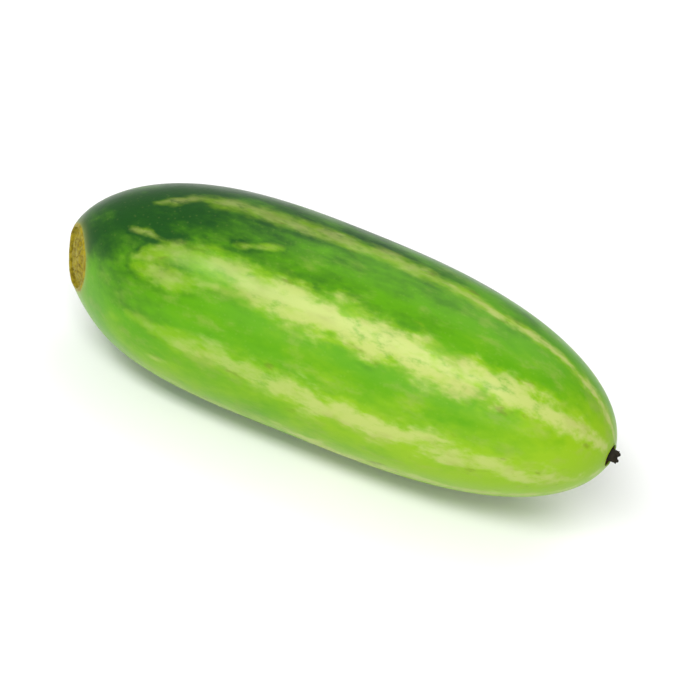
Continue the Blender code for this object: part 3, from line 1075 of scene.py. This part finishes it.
class GOURD_OT_flower(bpy.types.Operator):
    """Crumple the dried flower that stands in the pit at the tip"""

    bl_idname = "gourd.flower"
    bl_label = "Build Dried Flower"

    def execute(self, context):
        rows = [(mm(h), mm(max(r, 0)), c) for h, r, c in smooth_through(FLOWER_OUTLINE, FLOWER_RINGS)]
        rows[0] = (rows[0][0], 0.0, 0.0)
        rows[-1] = (rows[-1][0], 0.0, 0.0)
        petal = petal_scrap()
        given = {
            "Petal": petal, "Rings": len(rows), "Sides": FLOWER_SIDES, "Lobes": sizes().flower_lobes,
            "Lobe Width": FLOWER_LOBE_WIDTH, "Crumple": sizes().flower_crumple,
            "Petal Ring": mm(PETAL_RING), "Petal Height": mm(PETAL_HEIGHT),
            "Seed": sizes().seed, "Material": withered_material(),
        }
        flower = grown_mesh("withered_flower", outline_mesh(rows, ("ragged",)), flower_tree(), given)
        bpy.data.objects.remove(petal)
        low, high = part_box("dried_flower")
        turned = tangent(1.0).to_track_quat("Z", "Y").to_matrix().to_4x4()
        flower.data.transform(Matrix.Translation((low + high) / 2) @ turned)
        keep_in_box(flower, "dried_flower")
        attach(flower, BODY)
        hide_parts("dried_flower")
        return {"FINISHED"}


class GOURD_OT_stage(bpy.types.Operator):
    """Set the white board, the soft lights and the camera"""

    bl_idname = "gourd.stage"
    bl_label = "Build Stage"

    def execute(self, context):
        floor()
        lights()
        camera()
        return {"FINISHED"}


def floor():
    mesh = bpy.data.meshes.new("floor")
    bm = bmesh.new()
    bmesh.ops.create_grid(bm, x_segments=1, y_segments=1, size=FLOOR_SIZE / 2)
    bmesh.ops.translate(bm, verts=bm.verts, vec=(0, 0, GROUND))
    bm.to_mesh(mesh)
    bm.free()
    mesh.materials.append(stage_material())
    linked("floor", mesh)


def soft_light(name, place, target, size, power):
    """One softbox that faces the target."""
    data = bpy.data.lights.new(name, "AREA")
    data.shape = "RECTANGLE"
    data.size, data.size_y = size
    data.energy = power
    made = linked(name, data)
    made.location = place
    made.rotation_euler = (Vector(target) - Vector(place)).to_track_quat("-Z", "Y").to_euler()


def lights():
    for name, (place, size, power) in SOFTBOXES.items():
        soft_light(name, place, MIDDLE, size, power)
    world = bpy.data.worlds.new("white_room")
    world.use_nodes = True
    world.node_tree.nodes["Background"].inputs["Color"].default_value = (1.0, 1.0, 1.0, 1.0)
    world.node_tree.nodes["Background"].inputs["Strength"].default_value = ROOM_LIGHT
    bpy.context.scene.world = world
    bpy.context.scene.view_settings.view_transform = "Standard"


def camera():
    data = bpy.data.cameras.new("camera")
    data.sensor_width = 36.0
    data.lens = data.sensor_width * CAMERA_DISTANCE / PICTURE_WIDTH
    data.clip_start = 0.01
    made = linked("camera", data)
    level = math.cos(CAMERA_ELEVATION)
    towards = Vector((
        math.sin(CAMERA_AZIMUTH) * level, -math.cos(CAMERA_AZIMUTH) * level, math.sin(CAMERA_ELEVATION)
    ))
    turned = (-towards).to_track_quat("-Z", "Y").to_matrix().to_4x4() @ Matrix.Rotation(CAMERA_ROLL, 4, "Z")
    aside = turned @ Vector((*PICTURE_MIDDLE, 0.0))
    made.matrix_world = Matrix.Translation(Vector(MIDDLE) + aside + towards * CAMERA_DISTANCE) @ turned
    bpy.context.scene.camera = made


class GOURD_PT_panel(bpy.types.Panel):
    """Lists the operators that build the gourd"""

    bl_idname = "GOURD_PT_panel"
    bl_label = "Ivy Gourd"
    bl_space_type = "VIEW_3D"
    bl_region_type = "UI"
    bl_category = "Ivy Gourd"

    def draw(self, context):
        for operator in OPERATORS:
            self.layout.operator(operator.bl_idname)


OPERATORS = (GOURD_OT_rind, GOURD_OT_flower, GOURD_OT_stage)
CLASSES = (GourdSizes, GourdColours, *OPERATORS, GOURD_PT_panel)


def register():
    for cls in CLASSES:
        bpy.utils.register_class(cls)
    bpy.types.Scene.gourd_sizes = bpy.props.PointerProperty(type=GourdSizes)
    bpy.types.Scene.gourd_colours = bpy.props.PointerProperty(type=GourdColours)


def unregister():
    del bpy.types.Scene.gourd_colours
    del bpy.types.Scene.gourd_sizes
    for cls in reversed(CLASSES):
        bpy.utils.unregister_class(cls)


def main():
    register()
    bpy.ops.gourd.rind()
    bpy.ops.gourd.flower()
    bpy.ops.gourd.stage()


if __name__ == "__main__":
    main()
